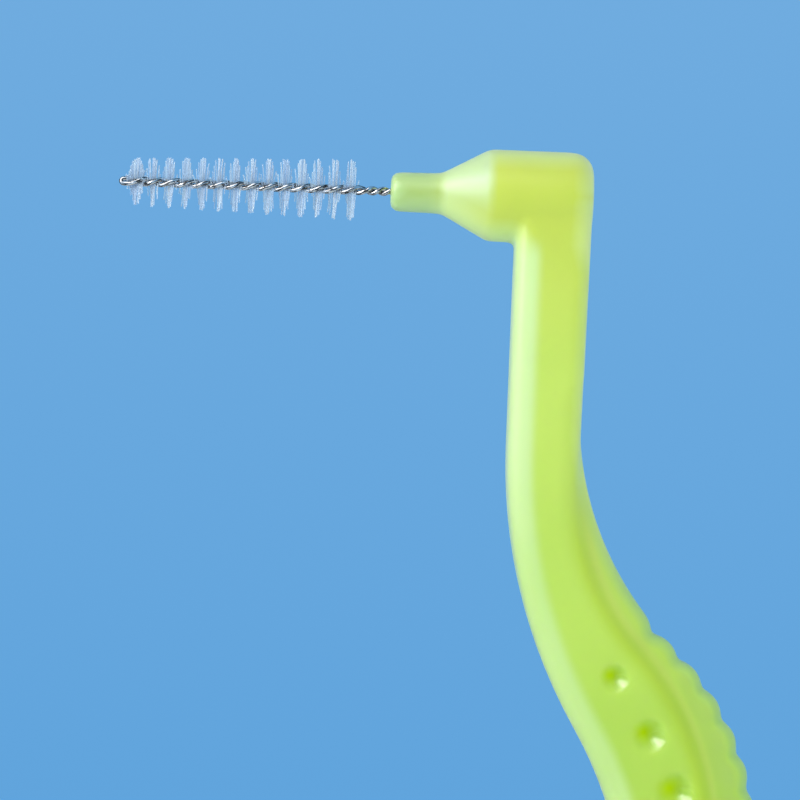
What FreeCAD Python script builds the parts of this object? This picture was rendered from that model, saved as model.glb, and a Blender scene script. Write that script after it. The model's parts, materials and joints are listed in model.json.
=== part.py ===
"""Angled interdental brush: a moulded handle, a twisted wire core and rows of nylon filaments.

Millimetres, +Z up, the brush pointing to -X. The origin is the pinch point of the grip, at the
middle of its row of dimples. The pieces are worked out in the head's own frame, whose origin is
the centre of the nozzle's mouth with the wire along X, and are moved to the pinch point at the end.
"""

import FreeCAD
import Part

import math
import os

V = FreeCAD.Vector

# Wire core: one wire, folded at the tip and twisted into a pair
WIRE_DIAMETER = 0.22
WIRE_SIDES = 5
BRUSH_REACH = 14.0
ANCHOR_DEPTH = 3.6
TWIST_PITCH = 1.70
ROOT_PITCH = 1.15
TIP_EASE = 0.60
ROOT_EASE = 0.90
FOLD_ANGLE = 75.6
STRAND_CLEARANCE = 0.008
BIARCS_PER_TURN = 4

# Nylon filaments, each pinched at its middle between the two strands
FILAMENT_DIAMETER = 0.070
FILAMENT_GAP = 0.025
FILAMENT_SIDES = 4
BARE_ROOT = 1.70
BARE_TIP = 0.45
BRISTLE_ROOT_RADIUS = 1.62
BRISTLE_TIP_RADIUS = 1.28
TIP_TRIM_RADIUS = 0.80
TIP_TRIM_LENGTH = 0.50

# Head: nozzle, cone and round body on the wire's axis
NOZZLE_RADIUS = 1.03
NOZZLE_ROOT_RADIUS = 1.07
NOZZLE_LENGTH = 2.65
NOZZLE_ROUND = 0.45
CONE_LENGTH = 2.42
HEAD_RADIUS = 2.38
HEAD_REACH = 10.45
HEAD_ROUND = 1.10
BORE_CLEARANCE = 0.02
BORE_END_CLEARANCE = 0.10

# Neck, grip and tail: a bar with flat sides and rounded edges
BAR_THICKNESS = 4.30
EDGE_ROUND = 0.85
EDGE_ROUND_LIMIT_SHARE = 0.45
NECK_WIDTH = 3.90
NECK_INSET = 0.04
NECK_WAIST = 0.16
HANDLE_REACH = 60.0

# Front edge, from the wire's axis down: straight, bend to the back, return bend, straight
FRONT_START = 12.84
FRONT_BEND = 27.65
FRONT_ANGLE = 31.5
FRONT_RETURN = 21.5

# Back edge of the bar, where the flange begins
CREASE_START = 14.53
CREASE_BEND = 12.15
CREASE_ANGLE = 43.7
CREASE_RETURN = 15.0

# Edge of the thinner flange behind the bar, over the tops of its scallops
FLANGE_START = 10.7
FLANGE_BEND = 16.46
FLANGE_ANGLE = 47.8
FLANGE_RETURN = 13.83
FLANGE_STRAIGHT = 3.0
FLANGE_RUN_OUT = 30.0
FLANGE_SINK = 0.05
FLANGE_THICKNESS = 2.55
FLANGE_CHAMFER = 0.55
SCALLOP_START = 10.42
SCALLOP_PITCH = 1.93
SCALLOP_HEIGHT = 0.38

# Dimples in both flat sides of the grip
DIMPLE_START = 24.42
DIMPLE_PITCH = 2.85
DIMPLE_DIAMETERS = [1.45, 1.70, 2.00, 1.80, 1.50]
DIMPLE_DEPTH_SHARE = 0.26
DIMPLE_PLACE_SHARES = [0.59, 0.635, 0.70, 0.70, 0.66]

# Cuts run past the faces that they open by this much, and places closer than the touch are one
OVERRUN = 1.0
TOUCH = 0.01

# Sizes that follow from the ones above
STRAND_OFFSET = (WIRE_DIAMETER + FILAMENT_DIAMETER) / 2 + STRAND_CLEARANCE
ROOT_OFFSET = WIRE_DIAMETER / 2 + STRAND_CLEARANCE
LOOP_X = STRAND_OFFSET + WIRE_DIAMETER / 2 - BRUSH_REACH
NECK_BACK = HEAD_REACH - NECK_INSET
NECK_FRONT = NECK_BACK - NECK_WIDTH


def smooth(share):
    """0 before 0, 1 after 1 and an even S-curve between."""
    t = min(1.0, max(0.0, share))
    return t * t * (3 - 2 * t)


def blend(start, end, share):
    """From start to end along the S-curve."""
    return start + (end - start) * smooth(share)


def eased_run(distance, ease):
    """The run made by a rate that rises from 0 to 1 over the ease length."""
    t = min(1.0, max(0.0, distance / ease))
    return ease * (t**3 - t**4 / 2) + max(0.0, distance - ease)


# Wire core


def half_turns(x):
    """Half turns of the pair between the first upright filament and x."""
    rows = eased_run(x - LOOP_X, TIP_EASE) / TWIST_PITCH
    root = eased_run(x + BARE_ROOT, ROOT_EASE) * (1 / ROOT_PITCH - 1 / TWIST_PITCH)
    return 2 * (rows + root) - math.radians(FOLD_ANGLE) / math.pi


def twist_angle(x):
    """Direction from one strand to the other at x: the fold stands nearly upright, and it turns back."""
    return -math.pi * half_turns(x)


def twist_rate(x):
    """Turns per millimetre at x."""
    rows = smooth((x - LOOP_X) / TIP_EASE) / TWIST_PITCH
    root = smooth((x + BARE_ROOT) / ROOT_EASE) * (1 / ROOT_PITCH - 1 / TWIST_PITCH)
    return rows + root


def strand_offset(x):
    """Distance from the wire's axis to the middle of a strand."""
    return blend(STRAND_OFFSET, ROOT_OFFSET, (x + BARE_ROOT) / ROOT_EASE)


def strand_point(x, side):
    """Middle of the strand at x, for side 0 or 1."""
    angle = twist_angle(x) + math.pi * side
    offset = strand_offset(x)
    return V(x, offset * math.cos(angle), offset * math.sin(angle))


def strand_tangent(x, side):
    """Direction of the strand at x, towards the head."""
    angle = twist_angle(x) + math.pi * side
    swing = -2 * math.pi * twist_rate(x) * strand_offset(x)
    return V(1, -swing * math.sin(angle), swing * math.cos(angle)).normalize()


def strand_stations():
    """The places along X where the biarcs of a strand meet."""
    stations = [LOOP_X, LOOP_X + TIP_EASE / 2, LOOP_X + TIP_EASE]
    while stations[-1] < ANCHOR_DEPTH:
        stations.append(stations[-1] + 1 / (BIARCS_PER_TURN * twist_rate(stations[-1])))
    stations[-1] = ANCHOR_DEPTH
    return stations


def arc_from(start, tangent, end):
    """The arc that leaves start along the tangent and reaches end."""
    chord = end - start
    along = V(chord).normalize()
    across = tangent - along * tangent.dot(along)
    half_turn = math.atan2(across.Length, tangent.dot(along))
    rise = V(across).normalize() * (chord.Length / 2 * math.tan(half_turn / 2))
    return Part.Arc(start, start + chord / 2 + rise, end).toShape()


def biarc(start, tangent_start, end, tangent_end):
    """Two arcs from start to end that keep both tangents."""
    span = end - start
    both = tangent_start + tangent_end
    bend = 2 * (1 - tangent_start.dot(tangent_end))
    reach = span.dot(both)
    arm = (math.sqrt(reach**2 + bend * span.dot(span)) - reach) / bend
    middle = (start + end + (tangent_start - tangent_end) * arm) / 2
    first = arc_from(start, tangent_start, middle)
    second = arc_from(end, tangent_end * -1, middle)
    return [first, second]


def strand_edges(side):
    """The arcs of one strand, from the fold to the anchor."""
    stations = strand_stations()
    edges = []
    for x, next_x in zip(stations, stations[1:]):
        start, end = strand_point(x, side), strand_point(next_x, side)
        edges += biarc(start, strand_tangent(x, side), end, strand_tangent(next_x, side))
    return edges


def least_strand_gap():
    """The least gap between the two strands behind the fold, measured on points of their arcs."""
    places = []
    for side in (0, 1):
        points = [point for edge in strand_edges(side) for point in edge.discretize(BIARCS_PER_TURN)]
        places.append([point for point in points if point.x > LOOP_X + TIP_EASE])
    near = [(a - b).Length for a in places[0] for b in places[1] if abs(a.x - b.x) < TWIST_PITCH / 4]
    return min(near) - WIRE_DIAMETER


def polygon_wire(centre, normal, diameter, sides):
    """A regular polygon across the normal, inside a circle of the diameter."""
    turn = FreeCAD.Rotation(V(0, 0, 1), normal)
    corners = []
    for i in range(sides + 1):
        angle = 2 * math.pi * i / sides
        corner = V(math.cos(angle), math.sin(angle), 0) * (diameter / 2)
        corners.append(centre + turn.multVec(corner))
    return Part.Wire(Part.makePolygon(corners))


def make_wire_core():
    """One unbroken wire: up one strand, round the fold at the tip and back along the other."""
    fold_start, fold_end = strand_point(LOOP_X, 0), strand_point(LOOP_X, 1)
    fold = Part.Arc(fold_start, V(LOOP_X - STRAND_OFFSET, 0, 0), fold_end).toShape()
    edges = strand_edges(0)[::-1] + [fold] + strand_edges(1)
    path = Part.Wire(Part.__sortEdges__(edges))
    start = strand_point(ANCHOR_DEPTH, 0)
    profile = polygon_wire(start, strand_tangent(ANCHOR_DEPTH, 0), WIRE_DIAMETER, WIRE_SIDES)
    shell = Part.BRepOffsetAPI.MakePipeShell(path)
    shell.add(profile)
    shell.build()
    shell.makeSolid()
    return shell.shape()


# Filaments


def bristle_radius(x):
    """Reach of the filaments at x: a slight cone, trimmed short at the tip."""
    first, last = BARE_TIP - BRUSH_REACH, -BARE_ROOT
    share = (x - first) / (last - first)
    cone = BRISTLE_TIP_RADIUS + (BRISTLE_ROOT_RADIUS - BRISTLE_TIP_RADIUS) * share
    trim = (x - first) / TIP_TRIM_LENGTH
    return min(cone, TIP_TRIM_RADIUS + (BRISTLE_TIP_RADIUS - TIP_TRIM_RADIUS) * trim)


def make_filament(x):
    """One straight filament through the wire's axis, across the line between the strands."""
    angle = twist_angle(x) + math.pi / 2
    along = V(0, math.cos(angle), math.sin(angle))
    reach = bristle_radius(x)
    start = V(x, 0, 0) - along * reach
    section = Part.Face(polygon_wire(start, along, FILAMENT_DIAMETER, FILAMENT_SIDES))
    return section.extrude(along * (2 * reach))


def make_bristle_rows():
    """The filaments of each half turn of the twist, as one group of separate solids."""
    rows = {}
    step = FILAMENT_DIAMETER + FILAMENT_GAP
    first, last = BARE_TIP - BRUSH_REACH, -BARE_ROOT
    count = int((last - first) / step)
    for i in range(count + 1):
        x = first + step * i
        row = round(half_turns(x))
        rows.setdefault(row, []).append(make_filament(x))
    return [Part.makeCompound(rows[row]) for row in sorted(rows)]


# Handle


class BentEdge:
    """An edge of the handle that runs down, bends to the back and returns to run down again."""

    def __init__(self, x, start, bend, angle, back):
        self.x, self.start, self.bend, self.back = x, start, bend, back
        self.angle = math.radians(angle)
        self.bend_run = bend * self.angle
        self.full_run = (bend + back) * self.angle

    def place(self, run, inset=0):
        """(x, z) at the run past the start, moved by the inset towards the front."""
        if run <= self.bend_run:
            turn = run / self.bend
            x, z = self.bend * (1 - math.cos(turn)), self.bend * math.sin(turn)
        else:
            turn = max(0.0, self.angle - (run - self.bend_run) / self.back)
            lean, rise = math.cos(self.angle), math.sin(self.angle)
            x = self.bend * (1 - lean) + self.back * (math.cos(turn) - lean)
            z = self.bend * rise + self.back * (rise - math.sin(turn)) + max(0.0, run - self.full_run)
        return self.x + x - inset * math.cos(turn), -self.start - z - inset * math.sin(turn)

    def point(self, run, inset=0, y=0):
        """The same place as a vector."""
        x, z = self.place(run, inset)
        return V(x, y, z)

    def edges(self, start, end, inset=0, y=0):
        """The arcs and the line between two runs."""
        marks = [start] + [r for r in (0, self.bend_run, self.full_run) if start < r < end] + [end]
        edges = []
        for a, b in zip(marks, marks[1:]):
            first, last = self.point(a, inset, y), self.point(b, inset, y)
            if a < self.full_run:
                edges.append(Part.Arc(first, self.point((a + b) / 2, inset, y), last).toShape())
            else:
                edges.append(Part.makeLine(first, last))
        return edges


FRONT = BentEdge(NECK_FRONT, FRONT_START, FRONT_BEND, FRONT_ANGLE, FRONT_RETURN)
CREASE = BentEdge(NECK_BACK - NECK_WAIST, CREASE_START, CREASE_BEND, CREASE_ANGLE, CREASE_RETURN)
FLANGE = BentEdge(CREASE.x - FLANGE_SINK, FLANGE_START, FLANGE_BEND, FLANGE_ANGLE, FLANGE_RETURN)


def make_bar():
    """Neck, grip and tail: the side outline drawn through the thickness, with rounded edges."""
    y = -BAR_THICKNESS / 2
    front_low, crease_low = FRONT.point(FRONT.full_run, y=y), CREASE.point(CREASE.full_run, y=y)
    tail_radius = (crease_low.x - front_low.x) / 2
    tail = V(front_low.x + tail_radius, y, tail_radius - HANDLE_REACH)
    tail_front, tail_back = tail - V(tail_radius, 0, 0), tail + V(tail_radius, 0, 0)
    top_front, top_back = V(NECK_FRONT, y, 0), V(NECK_BACK, y, 0)
    edges = [Part.makeLine(top_back, top_front), Part.makeLine(top_front, FRONT.point(0, y=y))]
    edges += FRONT.edges(0, FRONT.full_run, y=y)
    edges.append(Part.makeLine(front_low, tail_front))
    edges.append(Part.Arc(tail_front, tail - V(0, 0, tail_radius), tail_back).toShape())
    edges.append(Part.makeLine(tail_back, crease_low))
    edges += CREASE.edges(0, CREASE.full_run, y=y)
    edges.append(Part.makeLine(CREASE.point(0, y=y), top_back))
    bar = plate(edges, BAR_THICKNESS)
    long_edges = [e for e in bar.Edges if e.BoundBox.YLength < TOUCH and e.BoundBox.ZMin < -TOUCH]
    limit = EDGE_ROUND_LIMIT_SHARE * min(BAR_THICKNESS, NECK_WIDTH, 2 * tail_radius)
    return bar.makeFillet(min(EDGE_ROUND, limit), long_edges).Solids[0]


def plate(edges, thickness):
    """A flat plate from the edges of its outline, drawn along Y."""
    return Part.Face(Part.Wire(Part.__sortEdges__(edges))).extrude(V(0, thickness, 0))


def rounded_profile(corners):
    """A closed wire through (x, z, radius) corners in the middle plane, each corner rounded."""
    points = [V(x, 0, z) for x, z, radius in corners]
    pieces = []
    ends = []
    for i, (x, z, radius) in enumerate(corners):
        before = (points[i - 1] - points[i]).normalize()
        after = (points[(i + 1) % len(points)] - points[i]).normalize()
        half_corner = math.acos(before.dot(after)) / 2
        setback = radius / math.tan(half_corner)
        start, end = points[i] + before * setback, points[i] + after * setback
        ends.append((start, end))
        if radius > 0:
            bisector = (before + after).normalize()
            middle = points[i] + bisector * (radius / math.sin(half_corner) - radius)
            pieces.append(Part.Arc(start, middle, end).toShape())
    for i, (start, end) in enumerate(ends):
        pieces.append(Part.makeLine(ends[i - 1][1], start))
    return Part.Wire(Part.__sortEdges__(pieces))


def make_head():
    """Nozzle, cone and body, turned about the wire's axis."""
    corners = [
        (0, 0, 0),
        (0, NOZZLE_RADIUS, NOZZLE_ROUND),
        (NOZZLE_LENGTH, NOZZLE_ROOT_RADIUS, 0),
        (NOZZLE_LENGTH + CONE_LENGTH, HEAD_RADIUS, 0),
        (HEAD_REACH, HEAD_RADIUS, HEAD_ROUND),
        (HEAD_REACH, 0, 0),
    ]
    return Part.Face(rounded_profile(corners)).revolve(V(0, 0, 0), V(1, 0, 0), 360)


def scallop_runs():
    """Where the scallops' middles lie along the flange's edge."""
    count = int((FLANGE.full_run + FLANGE_STRAIGHT - SCALLOP_START) / SCALLOP_PITCH)
    return [SCALLOP_START + SCALLOP_PITCH * (i + 0.5) for i in range(count)]


def bar_middle(share, y):
    """A place inside the bar, between its front edge and its crease, at a share of their bends."""
    return (FRONT.point(FRONT.full_run * share, y=y) + CREASE.point(CREASE.full_run * share, y=y)) / 2


def make_web(first, last, inset):
    """The flange's plate: its smooth ends reach the edge, and between them it lies under the scallops."""
    y = -FLANGE_THICKNESS / 2
    low, end_x = FLANGE.point(last, y=y), bar_middle(1, y).x
    turn = math.acos(1 - (low.x - end_x) / FLANGE_RUN_OUT)
    run_out = []
    for angle in (turn / 2, turn):
        run_out.append(low - V(1 - math.cos(angle), 0, math.sin(angle)) * FLANGE_RUN_OUT)
    outer = FLANGE.edges(0, first, y=y) + [Part.Arc(low, run_out[0], run_out[1]).toShape()]
    under = FLANGE.edges(first, last, inset, y)
    under.append(Part.makeLine(FLANGE.point(first, y=y), FLANGE.point(first, inset, y)))
    under.append(Part.makeLine(FLANGE.point(last, inset, y), low))
    inside = [run_out[1], bar_middle(1, y), bar_middle(0.5, y), bar_middle(0, y), FLANGE.point(0, y=y)]
    back = [Part.makeLine(a, b) for a, b in zip(inside, inside[1:])]
    web = plate(outer + under + back, FLANGE_THICKNESS)
    rims = [e.CenterOfMass + V(0, side, 0) for e in outer for side in (0, FLANGE_THICKNESS)]
    chamfered = [e for e in web.Edges if min((e.CenterOfMass - rim).Length for rim in rims) < TOUCH]
    return web.makeChamfer(FLANGE_CHAMFER, chamfered).Solids[0]


def make_flange():
    """The flange: a web that starts inside the bar, and the row of scallops on its edge."""
    radius = (SCALLOP_PITCH**2 / 4 + SCALLOP_HEIGHT**2) / (2 * SCALLOP_HEIGHT)
    runs = scallop_runs()
    pieces = [make_web(runs[0], runs[-1], radius)]
    for run in runs:
        foot = FLANGE.point(run, radius, -FLANGE_THICKNESS / 2)
        puck = Part.makeCylinder(radius, FLANGE_THICKNESS, foot, V(0, 1, 0))
        rims = [e for e in puck.Edges if e.BoundBox.YLength < TOUCH]
        pieces.append(puck.makeChamfer(FLANGE_CHAMFER, rims).Solids[0])
    return pieces


def dimple_places():
    """The dimples' middles in the middle plane, between the front edge and the crease."""
    places = []
    for i, share in enumerate(DIMPLE_PLACE_SHARES):
        z = -DIMPLE_START - DIMPLE_PITCH * i
        front, crease = edge_at(FRONT, z), edge_at(CREASE, z)
        places.append(V(front + (crease - front) * share, 0, z))
    return places


def edge_at(edge, z):
    """The x of a bent edge at the height z."""
    low, high = 0.0, -z
    for _ in range(40):
        run = (low + high) / 2
        if edge.place(run)[1] > z:
            low = run
        else:
            high = run
    return edge.place(low)[0]


def make_dimples():
    """The balls that sink the dimples into both sides of the grip."""
    balls = []
    for place, diameter in zip(dimple_places(), DIMPLE_DIAMETERS):
        depth = diameter * DIMPLE_DEPTH_SHARE
        radius = (diameter**2 / 4 + depth**2) / (2 * depth)
        lift = V(0, BAR_THICKNESS / 2 + radius - depth, 0)
        balls += [Part.makeSphere(radius, place - lift), Part.makeSphere(radius, place + lift)]
    return balls


def make_bore():
    """The hole that the twisted tail of the wire is moulded into."""
    radius = ROOT_OFFSET + WIRE_DIAMETER / 2 + BORE_CLEARANCE
    length = ANCHOR_DEPTH + BORE_END_CLEARANCE + OVERRUN
    return Part.makeCylinder(radius, length, V(-OVERRUN, 0, 0), V(1, 0, 0))


def make_handle():
    """The one moulding: head, neck, grip and tail."""
    moulding = make_bar().multiFuse(make_flange()).fuse(make_head())
    moulding = moulding.cut(make_dimples() + [make_bore()])
    return moulding.removeSplitter().Solids[0]


def main():
    """Builds every piece about the pinch point and writes its STEP file."""
    os.makedirs("parts", exist_ok=True)
    pinch = dimple_places()[len(DIMPLE_DIAMETERS) // 2]
    pieces = {"handle": make_handle(), "wire_core": make_wire_core()}
    for i, row in enumerate(make_bristle_rows()):
        pieces[f"bristle_row_{i + 1:02d}"] = row
    for name, shape in pieces.items():
        shape.translate(pinch * -1)
        shape.exportStep(f"parts/{name}.step")
        print(f"{name}: {len(shape.Solids)} solids, {shape.Volume:.4f} mm3, valid {shape.isValid()}")
    print(f"least gap between the strands: {least_strand_gap():.4f} mm")
    print(f"pinch point in the head's frame: x {pinch.x:.4f}, z {pinch.z:.4f}")


main()
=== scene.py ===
"""Angled interdental brush: moulded handle, twisted wire core and nylon filaments, in a studio.

The classes work in millimetres in the head's own frame: the nozzle's mouth at the origin, the wire
along X with its folded tip at -X, and Z up. A finished mesh is moved to the part's frame, whose
origin is the pinch point of the grip, and turned into metres.
"""

import json
import logging
import math
from dataclasses import dataclass
from enum import Enum

import bmesh
import bpy
from mathutils import Matrix, Vector
from mathutils.bvhtree import BVHTree
from mathutils.kdtree import KDTree

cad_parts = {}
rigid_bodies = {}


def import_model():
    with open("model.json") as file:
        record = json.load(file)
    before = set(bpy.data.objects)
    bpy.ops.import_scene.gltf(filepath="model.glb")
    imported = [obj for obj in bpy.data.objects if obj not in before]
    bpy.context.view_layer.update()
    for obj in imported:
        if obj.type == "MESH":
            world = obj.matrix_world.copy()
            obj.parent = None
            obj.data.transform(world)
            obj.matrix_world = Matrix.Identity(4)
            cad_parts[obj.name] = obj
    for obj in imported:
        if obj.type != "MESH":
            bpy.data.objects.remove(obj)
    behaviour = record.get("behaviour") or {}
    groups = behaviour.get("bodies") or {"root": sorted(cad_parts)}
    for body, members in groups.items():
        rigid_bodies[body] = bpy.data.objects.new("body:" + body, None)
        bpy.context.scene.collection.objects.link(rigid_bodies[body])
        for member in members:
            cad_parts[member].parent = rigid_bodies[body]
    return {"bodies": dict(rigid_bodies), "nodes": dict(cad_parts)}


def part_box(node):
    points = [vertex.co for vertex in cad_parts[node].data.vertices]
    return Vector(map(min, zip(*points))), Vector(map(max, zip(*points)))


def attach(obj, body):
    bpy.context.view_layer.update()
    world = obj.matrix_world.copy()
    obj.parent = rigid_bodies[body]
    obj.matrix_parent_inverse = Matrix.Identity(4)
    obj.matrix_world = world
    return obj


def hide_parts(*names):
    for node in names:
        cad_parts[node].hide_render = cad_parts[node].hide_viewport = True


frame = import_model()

LOG = logging.getLogger("interdental_brush")

METRES_PER_MM = 0.001
BODY = "root"

# The nozzle's mouth in the part's frame, in millimetres
MOUTH = Vector((-15.8163, 0.0, 30.12))
HEAD_TO_PART = Matrix.Scale(METRES_PER_MM, 4) @ Matrix.Translation(MOUTH)

# Detail of the noise in clouds and flecks, and in grain and drawn lines
SOFT_DETAIL = 2.0
FINE_DETAIL = 3.0

# How far apart the seeds of neighbouring rows lie, so that each draw has its own
SEED_STEP = 10.0

Colour = tuple[float, float, float]
Ends = tuple[float, float]
Operand = "Field | float"


class Slot(Enum):
    """The material slots of the part's record."""

    HANDLE = "handle_plastic"
    WIRE = "wire_steel"
    FILAMENT = "nylon_filament"


class Op(Enum):
    """The sums that a field can be part of."""

    ADD = "ADD"
    SUBTRACT = "SUBTRACT"
    MULTIPLY = "MULTIPLY"
    DIVIDE = "DIVIDE"
    MODULO = "MODULO"
    FLOOR = "FLOOR"
    ABSOLUTE = "ABSOLUTE"
    LEAST = "MINIMUM"
    MOST = "MAXIMUM"
    POWER = "POWER"
    SINE = "SINE"
    COSINE = "COSINE"


class Layer(Enum):
    """How one colour is laid on another."""

    COVER = "MIX"
    STAIN = "MULTIPLY"


class InputKind(Enum):
    """The kinds of named input that a geometry recipe takes."""

    NUMBER = "NodeSocketFloat"
    COUNT = "NodeSocketInt"
    MATERIAL = "NodeSocketMaterial"


class LampRole(Enum):
    """What each lamp of the studio is there for."""

    KEY = "key_softbox"
    FRONT = "front_softbox"
    FILL = "fill_softbox"
    BACK = "back_softbox"
    STRIP = "strip_softbox"


# Node building


class Field:
    """A number carried by a node's socket, written like plain arithmetic."""

    def __init__(self, desk: "NodeDesk", socket: bpy.types.NodeSocket) -> None:
        """Keeps the socket and the desk that its sums are added on."""
        self.desk = desk
        self.socket = socket

    def __add__(self, other: Operand) -> "Field":
        """This number plus the other."""
        return self.desk.math(Op.ADD, self, other)

    def __sub__(self, other: Operand) -> "Field":
        """This number less the other."""
        return self.desk.math(Op.SUBTRACT, self, other)

    def __rsub__(self, other: float) -> "Field":
        """A plain number less this one."""
        return self.desk.math(Op.SUBTRACT, other, self)

    def __mul__(self, other: Operand) -> "Field":
        """This number times the other."""
        return self.desk.math(Op.MULTIPLY, self, other)

    def __truediv__(self, other: Operand) -> "Field":
        """This number over the other."""
        return self.desk.math(Op.DIVIDE, self, other)

    def __pow__(self, other: Operand) -> "Field":
        """This number raised to the other."""
        return self.desk.math(Op.POWER, self, other)


class NodeDesk:
    """Adds and joins the nodes of one tree."""

    def __init__(self, tree: bpy.types.NodeTree) -> None:
        """Works on the given tree."""
        self.tree = tree

    def node(
        self, kind: str, inputs: dict[str, object] | None = None, **settings: object
    ) -> bpy.types.Node:
        """Adds a node.

        Args:
            kind: The node's type.
            inputs: The values of its inputs, by name.
            **settings: Properties to set on it.

        Returns:
            The new node.
        """
        node = self.tree.nodes.new(kind)
        for name, value in settings.items():
            setattr(node, name, value)
        self.fill(node, inputs or {})
        return node

    def fill(self, node: bpy.types.Node, inputs: dict[str, object]) -> None:
        """Feeds a node's inputs by name; of those that share a name, the one in use."""
        for name, value in inputs.items():
            self.feed(next(s for s in node.inputs if s.name == name and s.enabled), value)

    def feed(self, socket: bpy.types.NodeSocket, value: object) -> None:
        """Gives an input its value.

        Args:
            socket: The input.
            value: A field or a socket, which is linked, or a plain value, which is set.
        """
        if isinstance(value, Field):
            self.tree.links.new(value.socket, socket)
        elif isinstance(value, bpy.types.NodeSocket):
            self.tree.links.new(value, socket)
        else:
            socket.default_value = value

    def math(self, operation: Op, *terms: Operand) -> Field:
        """Works out a sum.

        Args:
            operation: What is done.
            *terms: The numbers that it is done with.

        Returns:
            The result.
        """
        node = self.node("ShaderNodeMath", operation=operation.value)
        for socket, term in zip(node.inputs, terms):
            self.feed(socket, term)
        return Field(self, node.outputs[0])

    def vector(self, x: Operand, y: Operand, z: Operand) -> bpy.types.NodeSocket:
        """Joins three numbers into a vector."""
        return self.node("ShaderNodeCombineXYZ", {"X": x, "Y": y, "Z": z}).outputs[0]

    def ramp(self, share: object, stops: list[tuple[float, Colour]]) -> bpy.types.NodeSocket:
        """Turns a share into a colour.

        Args:
            share: The number to read, from 0 to 1.
            stops: The places and colours of the ramp.

        Returns:
            The colour.
        """
        node = self.node("ShaderNodeValToRGB", {"Fac": share})
        elements = node.color_ramp.elements
        while len(elements) < len(stops):
            elements.new(1.0)
        for element, (place, colour) in zip(elements, stops):
            element.position = place
            element.color = (*colour, 1.0)
        return node.outputs["Color"]

    def fade(
        self, share: object, low: Colour, high: Colour, ends: Ends = (0.0, 1.0)
    ) -> bpy.types.NodeSocket:
        """Turns a share into a colour between two, which are reached at the two ends."""
        return self.ramp(share, [(ends[0], low), (ends[1], high)])

    def blend(
        self, share: object, under: object, over: object, layer: Layer = Layer.COVER
    ) -> bpy.types.NodeSocket:
        """Lays one colour over another.

        Args:
            share: How much of the upper colour shows.
            under: The lower colour.
            over: The upper colour, plain or from a socket.
            layer: How it is laid on.

        Returns:
            The mixed colour.
        """
        node = self.node("ShaderNodeMix", data_type="RGBA", blend_type=layer.value)
        self.feed(node.inputs["Factor"], share)
        self.feed(node.inputs[6], under)
        self.feed(node.inputs[7], (*over, 1.0) if isinstance(over, tuple) else over)
        return node.outputs[2]

    def attribute(self, name: str) -> Field:
        """A number that the piece's own mesh carries."""
        return Field(self, self.node("ShaderNodeAttribute", attribute_name=name).outputs["Fac"])

    def span(self, value: object, low: float, high: float, to: Ends = (0.0, 1.0)) -> Field:
        """A value spread from low and high to two other ends, and kept within them."""
        inputs = {"Value": value, "From Min": low, "From Max": high, "To Min": to[0], "To Max": to[1]}
        return Field(self, self.node("ShaderNodeMapRange", inputs, clamp=True).outputs["Result"])

    def noise(self, place: object, scale: float, detail: float) -> Field:
        """Soft noise at a place, with its scale in cycles for each metre."""
        inputs = {"Vector": place, "Scale": scale, "Detail": detail}
        return Field(self, self.node("ShaderNodeTexNoise", inputs).outputs["Fac"])

    def bump(self, height: Field, strength: float, depth: float) -> bpy.types.NodeSocket:
        """The surface's normal, made uneven by a height, with its depth in metres."""
        inputs = {"Height": height, "Strength": strength, "Distance": depth}
        return self.node("ShaderNodeBump", inputs).outputs["Normal"]


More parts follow.
